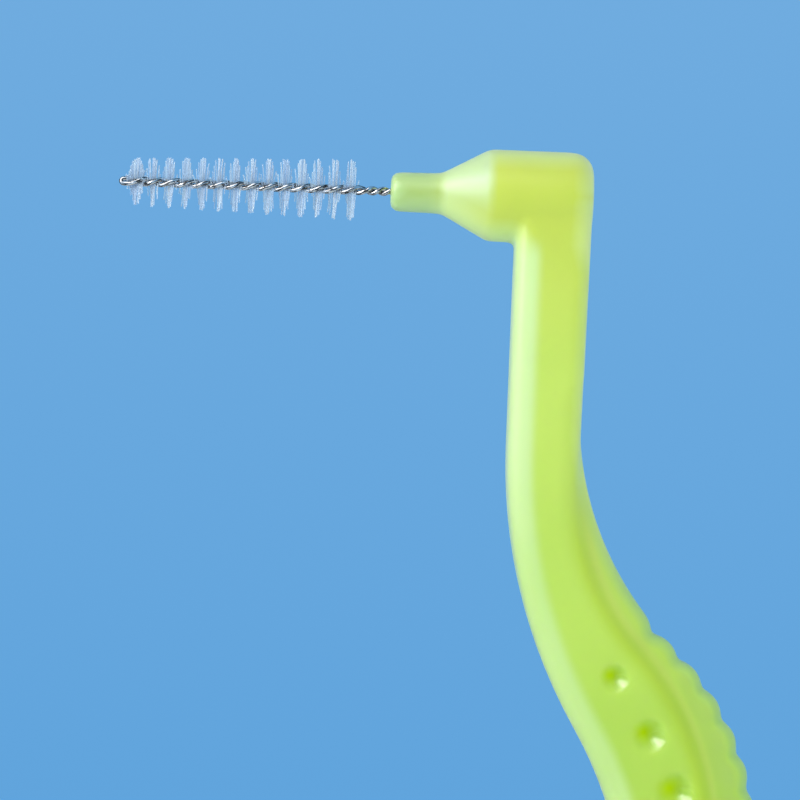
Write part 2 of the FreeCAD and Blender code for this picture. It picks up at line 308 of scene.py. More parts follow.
class GeometryRecipe:
    """A geometry node tree with named inputs that makes one mesh."""

    def __init__(self, name: str) -> None:
        """Starts an empty tree under that name."""
        self.tree = bpy.data.node_groups.new(name, "GeometryNodeTree")
        self.tree.interface.new_socket("Mesh", in_out="OUTPUT", socket_type="NodeSocketGeometry")
        self.desk = NodeDesk(self.tree)
        self.entry = self.desk.node("NodeGroupInput")
        self.keys: dict[str, str] = {}
        self.values: dict[str, object] = {}

    def take(self, name: str, kind: InputKind, value: object) -> bpy.types.NodeSocket:
        """Adds a named input.

        Args:
            name: The input's name.
            kind: What it holds.
            value: Its value, where a piece brings none of its own.

        Returns:
            The socket that carries it inside the tree.
        """
        item = self.tree.interface.new_socket(name, in_out="INPUT", socket_type=kind.value)
        self.keys[name] = item.identifier
        self.values[name] = value
        return next(s for s in self.entry.outputs if s.identifier == item.identifier)

    def number(self, name: str, value: float) -> Field:
        """Adds a named number."""
        return Field(self.desk, self.take(name, InputKind.NUMBER, value))

    def line(self, points: bpy.types.NodeSocket) -> bpy.types.NodeSocket:
        """A straight line of unit length along Z, with so many points."""
        line = self.desk.node("GeometryNodeCurvePrimitiveLine", {"End": (0.0, 0.0, 1.0)})
        inputs = {"Curve": line.outputs[0], "Count": points}
        return self.desk.node("GeometryNodeResampleCurve", inputs).outputs[0]

    def section(self, radius: Field, sides: bpy.types.NodeSocket) -> bpy.types.NodeSocket:
        """A round section with so many sides."""
        inputs = {"Resolution": sides, "Radius": radius}
        return self.desk.node("GeometryNodeCurvePrimitiveCircle", inputs).outputs[0]

    def sweep(self, path: bpy.types.NodeSocket, section: bpy.types.NodeSocket) -> bpy.types.NodeSocket:
        """Sweeps a section along a path and closes the ends."""
        inputs = {"Curve": path, "Profile Curve": section, "Fill Caps": True}
        return self.desk.node("GeometryNodeCurveToMesh", inputs).outputs[0]

    def mark(
        self, geometry: bpy.types.NodeSocket, name: str, value: object, **settings: object
    ) -> bpy.types.NodeSocket:
        """Stores a number on a geometry under a name that the finish reads."""
        inputs = {"Geometry": geometry, "Name": name, "Value": value}
        return self.desk.node("GeometryNodeStoreNamedAttribute", inputs, **settings).outputs[0]

    def close(self, mesh: bpy.types.NodeSocket, finish: bpy.types.Material) -> None:
        """Ends the tree: instances made real, smooth shading and the material.

        Args:
            mesh: The geometry to finish.
            finish: Its material.
        """
        real = self.desk.node("GeometryNodeRealizeInstances", {"Geometry": mesh})
        smooth = self.desk.node("GeometryNodeSetShadeSmooth", {"Geometry": real.outputs[0]})
        material = self.take("Finish", InputKind.MATERIAL, finish)
        dressing = {"Geometry": smooth.outputs[0], "Material": material}
        dressed = self.desk.node("GeometryNodeSetMaterial", dressing)
        leave = self.desk.node("NodeGroupOutput")
        self.desk.feed(leave.inputs[0], dressed.outputs[0])

    def bake(self, name: str, own: dict[str, object]) -> bpy.types.Object:
        """Runs the tree and keeps its result as a plain mesh in the part's frame.

        Args:
            name: The piece's name.
            own: The values that this piece brings, by the inputs' names.

        Returns:
            The piece, with no modifier left on it.
        """
        piece = add_object(name, bpy.data.meshes.new(name))
        modifier = piece.modifiers.new(self.tree.name, "NODES")
        modifier.node_group = self.tree
        for label, value in {**self.values, **own}.items():
            modifier[self.keys[label]] = value
        return settle(piece, HEAD_TO_PART)


# Meshes and pieces


def add_object(name: str, data: bpy.types.ID) -> bpy.types.Object:
    """Makes an object and puts it in the scene.

    Args:
        name: The object's name.
        data: Its mesh, light or camera.

    Returns:
        The object.
    """
    thing = bpy.data.objects.new(name, data)
    bpy.context.scene.collection.objects.link(thing)
    return thing


def settle(piece: bpy.types.Object, place: Matrix) -> bpy.types.Object:
    """Turns what an object's modifiers make into its own plain mesh.

    Args:
        piece: The object, whose modifiers are all used up.
        place: Where the mesh goes in the part's frame.

    Returns:
        The same object, at the origin.
    """
    depsgraph = bpy.context.evaluated_depsgraph_get()
    made = bpy.data.meshes.new_from_object(
        piece.evaluated_get(depsgraph), preserve_all_data_layers=True, depsgraph=depsgraph
    )
    piece.modifiers.clear()
    made.transform(place)
    made.name = piece.name
    piece.data = made
    return piece


def store(mesh: bpy.types.Mesh, name: str, values: list[float]) -> None:
    """Stores a number for each point of a mesh under a name that the finish reads."""
    mesh.attributes.new(name, "FLOAT", "POINT").data.foreach_set("value", values)


def search_tree(points: list[Vector]) -> KDTree:
    """Readies points for finding the nearest of them.

    Args:
        points: The points.

    Returns:
        The tree, which knows each point by its number.
    """
    tree = KDTree(len(points))
    for number, point in enumerate(points):
        tree.insert(point, number)
    tree.balance()
    return tree


def step(value: float, ends: Ends) -> float:
    """An even S-curve from 0 at the first end to 1 at the second, and flat past them."""
    share = min(1.0, max(0.0, (value - ends[0]) / (ends[1] - ends[0])))
    return share * share * (3 - 2 * share)


def hand_over(piece: bpy.types.Object, nodes: list[str]) -> None:
    """Puts a piece on the part's body in place of its solids.

    Args:
        piece: The finished piece.
        nodes: The solids that it stands for.
    """
    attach(piece, BODY)
    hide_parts(*nodes)
    LOG.info("%s: %d faces, for %s", piece.name, len(piece.data.polygons), ", ".join(nodes))


# Finishes


def new_material(name: str) -> tuple[NodeDesk, bpy.types.Node]:
    """Starts a node material.

    Args:
        name: The material's name.

    Returns:
        A desk on its tree, and its main shader.
    """
    material = bpy.data.materials.new(name)
    material.use_nodes = True
    return NodeDesk(material.node_tree), material.node_tree.nodes["Principled BSDF"]


@dataclass(frozen=True)
class TranslucentPlastic:
    """Lime polypropylene that light soaks into, with painted light: a painted glow along its rims,
    painted highlights on the cone, the front edge and the crease's ridge, and painted shade in its
    hollows.

    Heights and depths are in metres in the part's frame. Walls, rims and places along the wire are
    in millimetres.
    """

    name: str = "lime_polypropylene"
    grip_height: float = -0.004
    head_height: float = 0.029
    shades: tuple[tuple[float, Colour], ...] = (
        (0.00, (0.47, 0.71, 0.075)),
        (0.42, (0.55, 0.77, 0.115)),
        (0.76, (0.59, 0.78, 0.13)),
        (1.00, (0.60, 0.72, 0.095)),
    )
    thin_wall: float = 1.2
    thick_wall: float = 3.6
    thin_colour: Colour = (0.35, 0.515, 0.17)
    # Painted highlight on the cone's upper side, where the key softbox lights it
    cone_starts: Ends = (2.45, 2.95)
    cone_ends: Ends = (5.50, 4.95)
    cone_highlight_rise: Ends = (0.0286, 0.0308)
    cone_highlight_colour: Colour = (0.56, 0.74, 0.40)
    # Painted glow along the outline seen from the side, for light coming through the thin edges; wider
    # and paler on the head's top
    rim_width: float = 0.68
    rim_glow_weight: float = 0.75
    rim_glow_colour: Colour = (0.33, 0.62, 0.30)
    nozzle_ends: Ends = (2.9, 1.9)
    nozzle_rim_glow_colour: Colour = (0.54, 0.77, 0.40)
    neck_rise: Ends = (0.010, 0.016)
    neck_rim_glow_colour: Colour = (0.66, 0.88, 0.30)
    head_rise: Ends = (0.0262, 0.0276)
    head_rim_width: float = 1.15
    head_rim_glow_colour: Colour = (0.74, 0.95, 0.46)
    # Painted highlight band along the front edge that faces the key light
    highlight_band_colour: Colour = (0.66, 0.86, 0.39)
    low_highlight_band_colour: Colour = (0.60, 0.82, 0.29)
    # Painted highlight on the crease's ridge, where the slope catches light
    ridge_highlight_weight: float = 0.40
    ridge_highlight_colour: Colour = (0.63, 0.76, 0.17)
    # Painted shade in the dimples and beside the crease, which also takes the gloss away there
    painted_shade_weight: float = 0.97
    painted_shade_colour: Colour = (0.53, 0.75, 0.001)
    polish_roughness: float = 0.20
    polish_gloss: float = 0.65
    cloud_scale: float = 170.0
    cloud_ends: Ends = (0.35, 0.65)
    cloud_dark: Colour = (0.95, 0.97, 0.90)
    cloud_light: Colour = (1.0, 1.0, 1.0)
    grain_scale: float = 5200.0
    grain_depth: float = 0.000004
    grain_strength: float = 0.12
    smooth_roughness: float = 0.34
    dull_roughness: float = 0.44
    mirror_level: float = 0.5
    gloss_weight: float = 0.3
    gloss_roughness: float = 0.28
    soak_weight: float = 0.70
    soak_colour: Colour = (1.0, 1.0, 0.70)
    soak_depth: float = 0.0010
    refraction: float = 1.49

    def make(self) -> bpy.types.Material:
        """Builds the material.

        Returns:
            The finished material.
        """
        desk, shader = new_material(self.name)
        place = desk.node("ShaderNodeTexCoord").outputs["Object"]
        cloud = desk.noise(place, self.cloud_scale, SOFT_DETAIL)
        tint = desk.fade(cloud, self.cloud_dark, self.cloud_light, self.cloud_ends)
        grain = desk.noise(place, self.grain_scale, FINE_DETAIL)
        rough = desk.span(cloud, 0.0, 1.0, (self.smooth_roughness, self.dull_roughness))
        # The painted shade takes the gloss away where it lies
        polish, open_share = desk.attribute("polish"), 1.0 - desk.attribute("painted_shade")
        gloss = polish * (self.polish_gloss - self.gloss_weight) + self.gloss_weight
        dulled = polish * (self.polish_roughness - self.gloss_roughness) + self.gloss_roughness
        looks = {
            "Base Color": desk.blend(1.0, self.body(desk, place), tint, Layer.STAIN),
            "Roughness": rough + polish * (self.polish_roughness - rough),
            "IOR": self.refraction,
            "Normal": desk.bump(grain, self.grain_strength, self.grain_depth),
            "Subsurface Weight": self.soak_weight,
            "Subsurface Radius": self.soak_colour,
            "Subsurface Scale": self.soak_depth,
            "Specular IOR Level": open_share * self.mirror_level,
            "Coat Weight": gloss * open_share,
            "Coat Roughness": dulled,
        }
        desk.fill(shader, looks)
        return bpy.data.materials[self.name]

    def body(self, desk: NodeDesk, place: bpy.types.NodeSocket) -> bpy.types.NodeSocket:
        """Mixes the colour by height and wall, with painted light on the cone, along the rims, on the
        front edge and the crease's ridge, and painted shade in the hollows.

        Args:
            desk: Where the nodes go.
            place: The point's place in the part's frame.

        Returns:
            The colour.
        """
        axes = desk.node("ShaderNodeSeparateXYZ", {"Vector": place})
        height = axes.outputs["Z"]
        along = Field(desk, axes.outputs["X"]) / METRES_PER_MM - MOUTH.x
        colour = desk.ramp(desk.span(height, self.grip_height, self.head_height), list(self.shades))
        thin = desk.span(desk.attribute("wall"), self.thick_wall, self.thin_wall)
        colour = desk.blend(thin, colour, self.thin_colour)
        # Painted highlight on the cone's upper side
        cone = desk.span(along, *self.cone_starts) * desk.span(along, *self.cone_ends)
        colour = desk.blend(cone * desk.span(height, *self.cone_highlight_rise), colour, self.cone_highlight_colour)
        # Painted glow along the rims, paler at the head's top
        head, neck = desk.span(height, *self.head_rise), desk.span(height, *self.neck_rise)
        width = head * (self.head_rim_width - self.rim_width) + self.rim_width
        rim = desk.span(desk.attribute("rim") / width, 1.0, 0.0)
        edge = desk.fade(neck, self.rim_glow_colour, self.neck_rim_glow_colour)
        edge = desk.blend(head, edge, self.head_rim_glow_colour)
        edge = desk.blend(desk.span(along, *self.nozzle_ends), edge, self.nozzle_rim_glow_colour)
        colour = desk.blend(rim * self.rim_glow_weight, colour, edge)
        # Painted highlight band along the front edge
        highlight_band = desk.fade(neck, self.low_highlight_band_colour, self.highlight_band_colour)
        colour = desk.blend(desk.attribute("highlight_band"), colour, highlight_band)
        # Painted highlight on the crease's ridge
        colour = desk.blend(desk.attribute("ridge_highlight") * self.ridge_highlight_weight, colour, self.ridge_highlight_colour)
        # Painted shade in the dimples and beside the crease
        return desk.blend(desk.attribute("painted_shade") * self.painted_shade_weight, colour, self.painted_shade_colour)


@dataclass(frozen=True)
class DrawnSteel:
    """Bright stainless wire with fine lines along its length from the drawing die."""

    name: str = "drawn_stainless"
    bright: Colour = (0.80, 0.75, 0.70)
    dark: Colour = (0.05, 0.044, 0.04)
    line_stretch: float = 0.35
    line_scale: float = 9.0
    line_ends: Ends = (0.42, 0.57)
    polished: float = 0.21
    worn: float = 0.28
    line_depth: float = 0.000004
    line_strength: float = 0.25

    def make(self) -> bpy.types.Material:
        """Builds the material.

        Returns:
            The finished material.
        """
        desk, shader = new_material(self.name)
        along = desk.attribute("drawn_along") * self.line_stretch
        lines = desk.vector(along, desk.attribute("drawn_around"), 0.0)
        streak = desk.noise(lines, self.line_scale, FINE_DETAIL)
        looks = {
            "Base Color": desk.fade(streak, self.dark, self.bright, self.line_ends),
            "Metallic": 1.0,
            "Roughness": desk.span(streak, 0.0, 1.0, (self.worn, self.polished)),
            "Normal": desk.bump(streak, self.line_strength, self.line_depth),
        }
        desk.fill(shader, looks)
        return bpy.data.materials[self.name]


@dataclass(frozen=True)
class ClearNylon:
    """Fine white nylon filament that lets the backdrop through, its colours tinted with the backdrop's
    blue as painted light seen through it.
    """

    name: str = "clear_nylon"
    # Both tones carry the backdrop's blue, painted in for the light seen through the filament; which one
    # a filament gets is random
    dim: Colour = (0.46, 0.62, 0.84)
    pale: Colour = (0.78, 0.91, 1.0)
    cover: float = 0.38
    roughness: float = 0.35
    refraction: float = 1.53

    def make(self) -> bpy.types.Material:
        """Builds the material.

        Returns:
            The finished material.
        """
        desk, shader = new_material(self.name)
        looks = {
            "Base Color": desk.fade(desk.attribute("filament_tone"), self.dim, self.pale),
            "Alpha": self.cover,
            "Roughness": self.roughness,
            "IOR": self.refraction,
        }
        desk.fill(shader, looks)
        return bpy.data.materials[self.name]


# Wire core and filaments


@dataclass(frozen=True)
class TwistLaw:
    """How far the folded wire has turned at each place along it."""

    fold: float = -13.715
    fold_angle: float = math.radians(75.6)
    tip_ease: float = 0.60
    pitch: float = 1.70
    bare_root: float = 1.70
    root_ease: float = 0.90
    root_pitch: float = 1.15

    def inputs(self, recipe: GeometryRecipe) -> dict[str, Field]:
        """Adds the law's inputs to a recipe.

        Args:
            recipe: The recipe.

        Returns:
            The inputs' numbers inside its tree, by name.
        """
        numbers = {
            "Fold Place": self.fold,
            "Fold Angle": self.fold_angle,
            "Tip Ease": self.tip_ease,
            "Twist Pitch": self.pitch,
            "Bare Root": self.bare_root,
            "Root Ease": self.root_ease,
            "Root Pitch": self.root_pitch,
        }
        return {name: recipe.number(name, value) for name, value in numbers.items()}

    @staticmethod
    def share(run: Field, ease: Field) -> Field:
        """How far a run is through its ease, kept within 0 and 1."""
        return run.desk.span(run / ease, 0.0, 1.0)

    def eased(self, run: Field, ease: Field) -> Field:
        """The run made by a rate that rises from 0 to 1 over the ease length.

        Args:
            run: The distance past the place where the rate begins to rise.
            ease: The length over which it rises.

        Returns:
            The eased run.
        """
        share = self.share(run, ease)
        rise = share**3.0 - share**4.0 * 0.5
        rest = run.desk.math(Op.MOST, run - ease, 0.0)
        return rise * ease + rest

    def turn(self, given: dict[str, Field], x: Field) -> Field:
        """The angle that the pair has turned at x.

        Args:
            given: The law's inputs in the recipe.
            x: The place along the wire.

        Returns:
            The angle in radians.
        """
        rows = self.eased(x - given["Fold Place"], given["Tip Ease"]) / given["Twist Pitch"]
        root = self.eased(x + given["Bare Root"], given["Root Ease"])
        extra = root / given["Root Pitch"] - root / given["Twist Pitch"]
        return given["Fold Angle"] - (rows + extra) * math.tau

    def place_of(self, half_turns: float) -> float:
        """The place, past the tip's ease, so many half turns after the first upright filament."""
        run = (half_turns + self.fold_angle / math.pi) * self.pitch / 2
        return self.fold + self.tip_ease / 2 + run


@dataclass
class WireCore:
    """One steel wire, folded at the tip and twisted into a pair."""

    law: TwistLaw
    wire_radius: float = 0.120
    offset: float = 0.134
    root_offset: float = 0.1225
    anchor: float = 3.6
    path_points: int = 900
    sides: int = 14

    def recipe(self, finish: bpy.types.Material) -> GeometryRecipe:
        """Writes the tree that winds and sweeps the wire.

        Args:
            finish: The wire's material.

        Returns:
            The recipe.
        """
        recipe = GeometryRecipe("Twisted pair")
        desk = recipe.desk
        given = self.law.inputs(recipe)
        radius = recipe.number("Wire Radius", self.wire_radius)
        offset = recipe.number("Strand Offset", self.offset)
        root_offset = recipe.number("Root Offset", self.root_offset)
        anchor = recipe.number("Anchor Depth", self.anchor)
        points = recipe.take("Path Points", InputKind.COUNT, self.path_points)
        sides = recipe.take("Sides", InputKind.COUNT, self.sides)
        parameter = desk.node("GeometryNodeSplineParameter")
        factor, length = parameter.outputs["Factor"], parameter.outputs["Length"]
        quarter = offset * (math.pi / 2)
        run = (Field(desk, factor) - 0.5) * 2.0 * (anchor - given["Fold Place"] + quarter)
        swing = desk.math(Op.LEAST, desk.math(Op.MOST, run / offset, -math.pi / 2), math.pi / 2)
        past_fold = desk.math(Op.MOST, desk.math(Op.ABSOLUTE, run) - quarter, 0.0)
        x = given["Fold Place"] - offset * desk.math(Op.COSINE, swing) + past_fold
        share = self.law.share(x + given["Bare Root"], given["Root Ease"])
        closing = share * share * (3.0 - share * 2.0)
        reach = (offset + (root_offset - offset) * closing) * desk.math(Op.SINE, swing)
        turn = self.law.turn(given, x)
        y = reach * desk.math(Op.COSINE, turn)
        z = reach * desk.math(Op.SINE, turn)
        places = {"Geometry": recipe.line(points), "Position": desk.vector(x, y, z)}
        wound = desk.node("GeometryNodeSetPosition", places).outputs[0]
        path = recipe.mark(wound, "drawn_along", length)
        section = recipe.mark(recipe.section(radius, sides), "drawn_around", factor)
        recipe.close(recipe.sweep(path, section), finish)
        return recipe

    def build(self, finish: bpy.types.Material) -> bpy.types.Object:
        """Makes the wire in its material."""
        return self.recipe(finish).bake("twisted_wire", {})


@dataclass
class Bristles:
    """Nylon filaments, each pinched between the strands, in one row for each half turn."""

    law: TwistLaw
    first: float = -13.55
    last: float = -1.70
    filaments_per_mm: float = 35.0
    tip_density: float = 2.0
    thickness: float = 0.075
    sides: int = 5
    joints: int = 5
    tip_reach: float = 1.26
    root_reach: float = 1.60
    trimmed_reach: float = 0.79
    trim_length: float = 0.50
    uneven_share: float = 0.05
    spread_share: float = 0.50
    tip_spread_share: float = 0.95
    splay: float = 0.09
    lean: float = 0.05
    bow: float = 0.05
    seed: int = 11

    def recipe(self, finish: bpy.types.Material) -> GeometryRecipe:
        """Writes the tree that sets out and trims the filaments of a row.

        Args:
            finish: The filaments' material.

        Returns:
            The recipe.
        """
        recipe = GeometryRecipe("Filament row")
        desk = recipe.desk
        given = self.law.inputs(recipe)
        start = recipe.number("Row Start", self.first)
        end = recipe.number("Row End", self.last)
        count = recipe.take("Half Filaments", InputKind.COUNT, 0)
        seed = recipe.take("Seed", InputKind.COUNT, self.seed)
        points = desk.node("GeometryNodePoints", {"Count": count})
        index = Field(desk, desk.node("GeometryNodeInputIndex").outputs[0])
        side = desk.math(Op.MODULO, index, 2.0)
        pair = desk.math(Op.FLOOR, index * 0.5)
        share = (pair + self.draw(desk, seed, 1, (0.0, 1.0))) * 2.0 / Field(desk, count)
        spread = recipe.number("Spread Share", self.spread_share)
        place = share * 2.0 - 1.0
        bunched = place * spread + place**3.0 * (1.0 - spread)
        x = (start + end) * 0.5 + (end - start) * 0.5 * bunched
        splay = self.draw(desk, seed, 2, (-1.0, 1.0)) * recipe.number("Splay", self.splay)
        angle = self.law.turn(given, x) + side * math.pi + splay + math.pi / 2
        lean = self.draw(desk, seed, 3, (-1.0, 1.0)) * recipe.number("Lean", self.lean)
        across = desk.math(Op.COSINE, lean)
        heading = desk.vector(
            desk.math(Op.SINE, lean),
            across * desk.math(Op.COSINE, angle),
            across * desk.math(Op.SINE, angle),
        )
        uneven = recipe.number("Uneven Share", self.uneven_share)
        reach = self.reach(recipe, x) * (self.draw(desk, seed, 4, (-1.0, 0.0)) * uneven + 1.0)
        places = {"Geometry": points.outputs[0], "Position": desk.vector(x, 0.0, 0.0)}
        aim = desk.node("FunctionNodeAlignRotationToVector", {"Vector": heading}, axis="Z")
        roll = self.draw(desk, seed, 5, (0.0, math.tau))
        spin = desk.node("FunctionNodeAxisAngleToRotation", {"Axis": (0, 0, 1), "Angle": roll})
        turned = desk.node(
            "FunctionNodeRotateRotation",
            {"Rotation": aim.outputs[0], "Rotate By": spin.outputs[0]},
            rotation_space="LOCAL",
        )
        planting = {
            "Points": desk.node("GeometryNodeSetPosition", places).outputs[0],
            "Instance": self.filament(recipe),
            "Rotation": turned.outputs[0],
            "Scale": desk.vector(1.0, 1.0, reach),
        }
        planted = desk.node("GeometryNodeInstanceOnPoints", planting).outputs[0]
        tone = self.draw(desk, seed, 6, (0.0, 1.0))
        recipe.close(recipe.mark(planted, "filament_tone", tone, domain="INSTANCE"), finish)
        return recipe

    @staticmethod
    def draw(desk: NodeDesk, seed: bpy.types.NodeSocket, number: int, ends: Ends) -> Field:
        """Draws a random number for each filament.

        Args:
            desk: Where the nodes go.
            seed: The row's seed.
            number: Which draw it is, so that each has its own numbers.
            ends: The least and the greatest value.

        Returns:
            The number.
        """
        own = Field(desk, seed) * SEED_STEP + float(number)
        inputs = {"Min": ends[0], "Max": ends[1], "Seed": own}
        node = desk.node("FunctionNodeRandomValue", inputs, data_type="FLOAT")
        return Field(desk, next(s for s in node.outputs if s.enabled))

    def reach(self, recipe: GeometryRecipe, x: Field) -> Field:
        """The trimmed reach at x: a slight cone, cut short at the tip.

        Args:
            recipe: The tree that the reach belongs to.
            x: The place along the wire.

        Returns:
            The reach from the wire's axis.
        """
        first = recipe.number("First Place", self.first)
        last = recipe.number("Last Place", self.last)
        tip = recipe.number("Reach At Tip", self.tip_reach)
        root = recipe.number("Reach At Root", self.root_reach)
        trimmed = recipe.number("Trimmed Reach", self.trimmed_reach)
        length = recipe.number("Trim Length", self.trim_length)
        cone = tip + (root - tip) * ((x - first) / (last - first))
        trim = trimmed + (tip - trimmed) * ((x - first) / length)
        return recipe.desk.math(Op.LEAST, cone, trim)

    def filament(self, recipe: GeometryRecipe) -> bpy.types.NodeSocket:
        """One filament of unit length along Z, slightly bowed.

        Args:
            recipe: The tree that it is made in.

        Returns:
            Its mesh.
        """
        desk = recipe.desk
        share = Field(desk, desk.node("GeometryNodeSplineParameter").outputs["Factor"])
        bowed = desk.vector(share * share * recipe.number("Bow", self.bow), 0.0, 0.0)
        joints = recipe.take("Joints", InputKind.COUNT, self.joints)
        places = {"Geometry": recipe.line(joints), "Offset": bowed}
        bent = desk.node("GeometryNodeSetPosition", places).outputs[0]
        radius = recipe.number("Thickness", self.thickness) * 0.5
        sides = recipe.take("Sides", InputKind.COUNT, self.sides)
        return recipe.sweep(bent, recipe.section(radius, sides))

    def rows(self) -> list[Ends]:
        """The places where each half turn begins and ends, from the tip.

        Returns:
            The two places of each row.
        """
        edges = [self.first]
        while (edge := self.law.place_of(len(edges) - 0.5)) < self.last:
            edges.append(edge)
        edges.append(self.last)
        return list(zip(edges, edges[1:]))

    def build(self, finish: bpy.types.Material) -> list[bpy.types.Object]:
        """Makes the rows.

        Args:
            finish: Their material.

        Returns:
            One piece for each half turn, from the tip.
        """
        recipe = self.recipe(finish)
        pieces = []
        for number, (start, end) in enumerate(self.rows(), 1):
            density = self.filaments_per_mm * (self.tip_density if number == 1 else 1.0)
            own = {
                "Row Start": start,
                "Row End": end,
                "Half Filaments": 2 * round((end - start) * density / 2),
                "Seed": self.seed + number,
                "Spread Share": self.tip_spread_share if number == 1 else self.spread_share,
            }
            pieces.append(recipe.bake(f"filament_row_{number:02d}", own))
        return pieces


# Handle


@dataclass(frozen=True)
class BentLine:
    """A line down the handle that bends to the back and returns."""

    x: float
    start: float
    bend: float
    angle: float
    back: float
    above: float
    below: float

    def points(self, count: int) -> list[Vector]:
        """Points along the line, with its straight stretches above the bend and below the return.

        Args:
            count: How many.

        Returns:
            The points, in the part's frame, in the handle's middle plane.
        """
        angle = math.radians(self.angle)
        first, both = self.bend * angle, (self.bend + self.back) * angle
        lean, rise = math.cos(angle), math.sin(angle)
        line = []
        for number in range(count):
            run = (self.above + both + self.below) * number / (count - 1) - self.above
            if run < first:
                turn = max(0.0, run) / self.bend
                x, drop = self.bend * (1 - math.cos(turn)), self.bend * math.sin(turn) + min(0.0, run)
            else:
                turn = max(0.0, both - run) / self.back
                x = self.bend * (1 - lean) + self.back * (math.cos(turn) - lean)
                drop = self.bend * rise + self.back * (rise - math.sin(turn)) + max(0.0, run - both)
            line.append(MOUTH + Vector((self.x + x, 0.0, -self.start - drop)))
        return line


@dataclass
class MouldedHandle:
    """The handle in one moulding: nozzle, head, neck, grip, scalloped flange and tail."""

    crease: BentLine = BentLine(10.25, 14.53, 12.15, 43.7, 15.0, above=4.0, below=16.0)
    front: BentLine = BentLine(6.51, 12.84, 27.65, 31.5, 21.5, above=4.0, below=16.0)
    line_points: int = 1500
    dimple_start: float = 24.42
    dimple_pitch: float = 2.85
    dimple_widths: tuple[float, ...] = (1.45, 1.70, 2.00, 1.80, 1.50)
    dimple_shares: tuple[float, ...] = (0.59, 0.635, 0.70, 0.70, 0.66)
    dimple_depth_share: float = 0.34
    dimple_spread: float = 1.28
    # Painted shade on each dimple's upper-left wall, away from the key light, and polish where its
    # highlight falls
    painted_shade_shift: Ends = (-0.34, 0.16)
    painted_shade_spread: float = 0.95
    polish_shift: Ends = (0.46, -0.28)
    polish_spread: Ends = (0.80, 0.25)
    crease_drop: Ends = (15.0, 18.5)
    # Painted shade beside the crease, on the bar's side
    crease_shade_place: float = -0.25
    crease_shade_width: float = 0.75
    crease_shade_weight: float = 0.34
    # Painted highlight on the crease's ridge
    ridge_place: float = 0.28
    ridge_width: float = 0.36
    side_place: float = 2.15
    side_floor: float = 1.30
    bar_side: Ends = (1.15, 0.55)
    flange_side: Ends = (1.50, 0.70)
    crease_rise: Ends = (0.75, 1.15)
    crease_softening: int = 100
    grid: float = 0.13
    softening: int = 22
    soften_factor: float = 0.5
    weld: float = 0.0001
    wall_limit: float = 6.0
    wall_step: float = 0.02
    wall_spread: float = 0.55
    bore_reach: float = 0.45
    # Painted highlight band: how near the front edge, how far the edge turns towards the key light, and
    # how far under the mouth it starts
    band_width: Ends = (1.60, 0.90)
    band_turn: Ends = (0.60, 0.80)
    band_drop: Ends = (1.9, 3.3)

    def build(self, finish: bpy.types.Material) -> bpy.types.Object:
        """Makes the moulding, with the soft edges that a mould leaves.

        Args:
            finish: Its material.

        Returns:
            The finished piece.
        """
        piece = add_object("moulded_handle", self.solid())
        remesh = piece.modifiers.new("Even grid", "REMESH")
        remesh.mode = "VOXEL"
        remesh.voxel_size = self.grid
        settle(piece, Matrix.Identity(4))
        self.mark_crease(piece)
        self.soften(piece, "Soft edges", self.softening)
        self.soften(piece, "Soft crease", self.crease_softening, "crease")
        settle(piece, Matrix.Identity(4))
        self.sink_dimples(piece.data)
        self.mark_walls(piece.data)
        self.mark_hollows(piece.data)
        self.mark_rims(piece.data)
        piece.data.transform(Matrix.Scale(METRES_PER_MM, 4))
        piece.data.materials.clear()
        piece.data.materials.append(finish)
        piece.data.shade_smooth()
        return piece

    def solid(self) -> bpy.types.Mesh:
        """Copies the handle's solid and closes its seams.

        Returns:
            The copy, in millimetres.
        """
        mesh = frame["nodes"]["handle"].data.copy()
        mesh.transform(Matrix.Scale(1 / METRES_PER_MM, 4))
        shell = bmesh.new()
        shell.from_mesh(mesh)
        bmesh.ops.remove_doubles(shell, verts=shell.verts, dist=self.weld)
        shell.to_mesh(mesh)
        shell.free()
        return mesh

    def soften(self, piece: bpy.types.Object, name: str, rounds: int, group: str = "") -> None:
        """Adds a modifier that rounds the edges off.

        Args:
            piece: The moulding.
            name: The modifier's name.
            rounds: How many times it evens the surface out.
            group: The points that it is kept to, or all of them.
        """
        modifier = piece.modifiers.new(name, "SMOOTH")
        modifier.factor = self.soften_factor
        modifier.iterations = rounds
        modifier.vertex_group = group

    def mark_crease(self, piece: bpy.types.Object) -> None:
        """Weights what is softened most: the slope to the flange, on both sides.

        Args:
            piece: The moulding, in millimetres.
        """
        near = search_tree(self.crease.points(self.line_points))
        group = piece.vertex_groups.new(name="crease")
        for vertex in piece.data.vertices:
            x, y, z = vertex.co
            place, _, away = near.find((x, 0.0, z))
            fade = step(away, self.bar_side if x < place.x else self.flange_side)
            weight = fade * step(abs(y), self.crease_rise)
            if weight > 0:
                group.add([vertex.index], weight, "REPLACE")

    def dimples(self) -> list[tuple[Vector, float]]:
        """Works out where the dimples are.

        Returns:
            The middle of each dimple in the handle's middle plane, and its radius.
        """
        lines = [line.points(self.line_points) for line in (self.front, self.crease)]
        places = []
        for number, (width, share) in enumerate(zip(self.dimple_widths, self.dimple_shares)):
            z = MOUTH.z - self.dimple_start - self.dimple_pitch * number
            front, crease = (min(line, key=lambda point: abs(point.z - z)) for line in lines)
            places.append((front.lerp(crease, share), width / 2))
        return places

